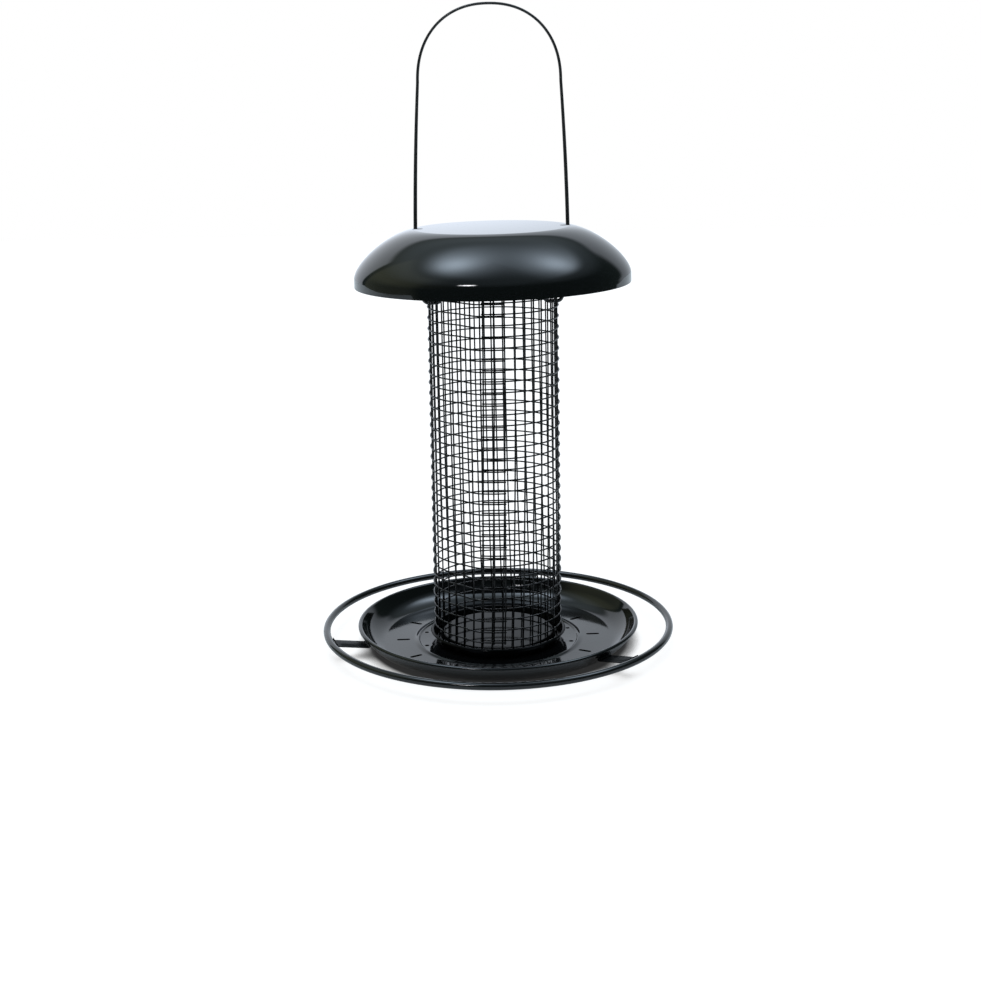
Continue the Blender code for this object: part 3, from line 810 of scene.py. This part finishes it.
class Studio:
    """Surroundings that the object reflects, written by direction from its middle."""

    def __init__(self, tree):
        self.tree = tree
        place = tree.nodes.new("ShaderNodeTexCoord")
        self.way = place.outputs["Generated"]
        split = tree.nodes.new("ShaderNodeSeparateXYZ")
        tree.links.new(self.way, split.inputs[0])
        side = number_node(tree, "ARCTAN2", split.outputs["X"], split.outputs["Y"])
        self.turn = number_node(tree, "DEGREES", side)
        self.lift = number_node(tree, "DEGREES", number_node(tree, "ARCSINE", split.outputs["Z"]))
        self.total = None

    def add(self, amount, colour):
        """Add light of a colour, by the amount that a socket gives for each direction."""
        light = scaled_colour(self.tree, colour, amount)
        if self.total is not None:
            light = vector_node(self.tree, "ADD", self.total, light).outputs[0]
        self.total = light

    def times(self, first, second):
        return number_node(self.tree, "MULTIPLY", first, second)

    def above(self, low, high):
        return ramp(self.tree, self.lift, low, high)

    def board(self, left, right, top, strength, soft, lean=0):
        """Upright board between two turns; soft widens its left, right and top edge."""
        amount = ramp(self.tree, self.turn, left - soft[0], left + soft[0])
        leaning = number_node(self.tree, "MULTIPLY_ADD", self.lift, lean, self.turn)
        amount = self.times(amount, ramp(self.tree, leaning, right + soft[1], right - soft[1]))
        amount = self.times(amount, ramp(self.tree, self.lift, top + soft[2], top - soft[2]))
        return self.times(amount, strength)

    def glow(self, turn, lift, spread, strength):
        """Soft round lamp that fades out over some degrees."""
        turn = math.radians(turn)
        lift = math.radians(lift)
        level = math.cos(lift)
        middle = (level * math.sin(turn), level * math.cos(turn), math.sin(lift))
        nearness = vector_node(self.tree, "DOT_PRODUCT", self.way, middle).outputs["Value"]
        away = number_node(self.tree, "SUBTRACT", nearness, 1)
        fall = number_node(self.tree, "DIVIDE", away, math.radians(spread) ** 2)
        return self.times(number_node(self.tree, "EXPONENT", fall), strength)


def hang_boards(studio):
    """Room, ceiling and the large boards with the soft glows on them."""
    studio.add(ROOM_LIGHT, ROOM_COLOUR)
    behind = studio.times(studio.above(*CEILING_EDGE), studio.board(*BEHIND))
    studio.add(studio.times(studio.above(*CEILING_EDGE), CEILING_LIGHT), CEILING_COLOUR)
    studio.add(studio.times(behind, CEILING_BEHIND), CEILING_COLOUR)
    studio.add(studio.board(*SWEEP), SWEEP_COLOUR)
    studio.add(studio.board(*SWEEP_LEFT), SWEEP_COLOUR)
    studio.add(studio.times(studio.glow(*SWEEP_GLOW), studio.board(*SWEEP_MASK)), SWEEP_GLOW_COLOUR)
    studio.add(studio.glow(*LOW_GLOW), LOW_GLOW_COLOUR)
    studio.add(studio.board(*LEFT_BOARD), OLIVE)
    studio.add(studio.times(studio.glow(*LEFT_GLOW), studio.above(*LEFT_GLOW_EDGE)), OLIVE)
    studio.add(studio.times(studio.glow(*TOP_GLOW), studio.above(*TOP_GLOW_EDGE)), TOP_GLOW_COLOUR)


def hang_lamps(studio):
    """Two cut-off lamps high at the sides and a row of small ones in front."""
    for lamps, edge in ((LEFT_LAMPS, LEFT_LAMP_EDGE), (RIGHT_LAMPS, RIGHT_LAMP_EDGE)):
        cut = studio.above(*edge)
        for lamp in lamps:
            studio.add(studio.times(studio.glow(*lamp), cut), LAMP_COLOUR)
    for lamp in GLINTS:
        studio.add(studio.glow(*lamp), GLINT_COLOUR)


def light_studio():
    """World that is white to the camera and lights the object as the studio does."""
    world = bpy.data.worlds.new("studio")
    scene.world = world
    world.use_nodes = True
    tree = world.node_tree
    tree.nodes.clear()
    studio = Studio(tree)
    hang_boards(studio)
    hang_lamps(studio)
    lit = tree.nodes.new("ShaderNodeBackground")
    tree.links.new(studio.total, lit.inputs["Color"])
    white = tree.nodes.new("ShaderNodeBackground")
    white.inputs["Color"].default_value = (1, 1, 1, 1)
    path = tree.nodes.new("ShaderNodeLightPath")
    choose = tree.nodes.new("ShaderNodeMixShader")
    out = tree.nodes.new("ShaderNodeOutputWorld")
    tree.links.new(path.outputs["Is Camera Ray"], choose.inputs["Fac"])
    tree.links.new(lit.outputs[0], choose.inputs[1])
    tree.links.new(white.outputs[0], choose.inputs[2])
    tree.links.new(choose.outputs[0], out.inputs["Surface"])


# Table


def add_table():
    """White table that runs out of view behind and ends a little way in front."""
    mesh = bpy.data.meshes.new("table")
    corners = [
        (-TABLE_SIDE, TABLE_FRONT, 0),
        (TABLE_SIDE, TABLE_FRONT, 0),
        (TABLE_SIDE, TABLE_BACK, 0),
        (-TABLE_SIDE, TABLE_BACK, 0),
    ]
    mesh.from_pydata(corners, [], [(0, 1, 2, 3)])
    floor = bpy.data.objects.new("table", mesh)
    scene.collection.objects.link(floor)
    floor.location.z = -TABLE_DROP
    mesh.materials.append(table_white())


def table_shadow(tree):
    """The object's shadow: nought where it is full and one on the open table."""
    slant = tree.nodes.new("ShaderNodeCombineXYZ")
    for target, value in zip(slant.inputs, SHADOW_SIDE):
        target.default_value = value
    firm = tree.nodes.new("ShaderNodeAmbientOcclusion")
    firm.inputs["Distance"].default_value = SHADOW_REACH
    tree.links.new(slant.outputs[0], firm.inputs["Normal"])
    soft = tree.nodes.new("ShaderNodeAmbientOcclusion")
    soft.inputs["Distance"].default_value = SOFT_SHADOW_REACH
    shade = ramp(tree, firm.outputs["AO"], *SHADOW_RANGE)
    return number_node(tree, "MINIMUM", shade, ramp(tree, soft.outputs["AO"], *SOFT_SHADOW_RANGE))


def table_white():
    """White to the camera with the object's shadow and painted shade under the tray, and lit with only
    the painted shade under the tray where the object mirrors it.
    """
    material, tree, shader = new_material("table_white")
    place = tree.nodes.new("ShaderNodeTexCoord")
    reach = vector_node(tree, "LENGTH", place.outputs["Object"]).outputs["Value"]
    # Painted shade: the table's colour and glow darken towards the middle, under the tray
    mirrored_shade = ramp(tree, reach, *MIRRORED_SHADE_EDGE)
    # Painted shadow from occlusion, times the painted shade under the tray, as the camera sees it
    seen_shade = number_node(tree, "MULTIPLY", table_shadow(tree), ramp(tree, reach, *SEEN_SHADE_EDGE))
    # Stray light painted into the shade under the tray, so that it is not quite black
    stray = number_node(tree, "MULTIPLY", ramp(tree, reach, *STRAY_EDGE), STRAY_LIGHT)
    seen_shade = number_node(tree, "MAXIMUM", seen_shade, stray)
    eye = tree.nodes.new("ShaderNodeLightPath").outputs["Is Camera Ray"]
    lit = switch(tree, eye, mirrored_shade, number_node(tree, "MULTIPLY", seen_shade, SEEN_COLOUR_SHARE))
    tree.links.new(scaled_colour(tree, TABLE_COLOUR, lit), shader.inputs["Base Color"])
    shader.inputs["Roughness"].default_value = TABLE_ROUGHNESS
    shader.inputs["Emission Color"].default_value = (1, 1, 1, 1)
    dim = number_node(tree, "MULTIPLY", mirrored_shade, MIRRORED_GLOW_SHARE)
    bright = number_node(tree, "MULTIPLY", seen_shade, SEEN_GLOW_SHARE)
    tree.links.new(switch(tree, eye, dim, bright), shader.inputs["Emission Strength"])
    return material


roof_black = black_coat("roof_enamel", (0.003, 0.0034, 0.0038), 0.045, 0.012, 220, 0.03)
tray_black = black_coat("tray_enamel", (0.003, 0.0033, 0.0036), 0.08, 0.02, 300, 0.06)
cup_black = black_coat("cup_enamel", (0.002, 0.0022, 0.0024), 0.06, 0.02, 300, 0.04, specular=0.06)
perch_black = black_coat("perch_coat", (0.004, 0.0042, 0.0045), 0.09, 0.02, 500, 0.04)
strip_black = black_coat("strip_coat", (0.004, 0.0041, 0.0043), 0.5, 0.06, 900, 0.08, specular=0.15)
bail_black = black_coat("bail_coat", (0.03, 0.03, 0.0305), 0.3, 0.03, 500, 0.04)
mesh_black = black_coat("mesh_coat", (0.002, 0.002, 0.0022), 0.27, 0.04, 900, 0.05, specular=0.25)
steel = zinc("plated_steel")

add_camera()
finish_nodes()
make_tube()
make_roof()
make_tray()
make_cup()
make_perch_ring()
for bracket_side, bracket_turn in BRACKET_TURNS.items():
    make_bracket(bracket_side, bracket_turn)
make_bail()
light_studio()
add_table()
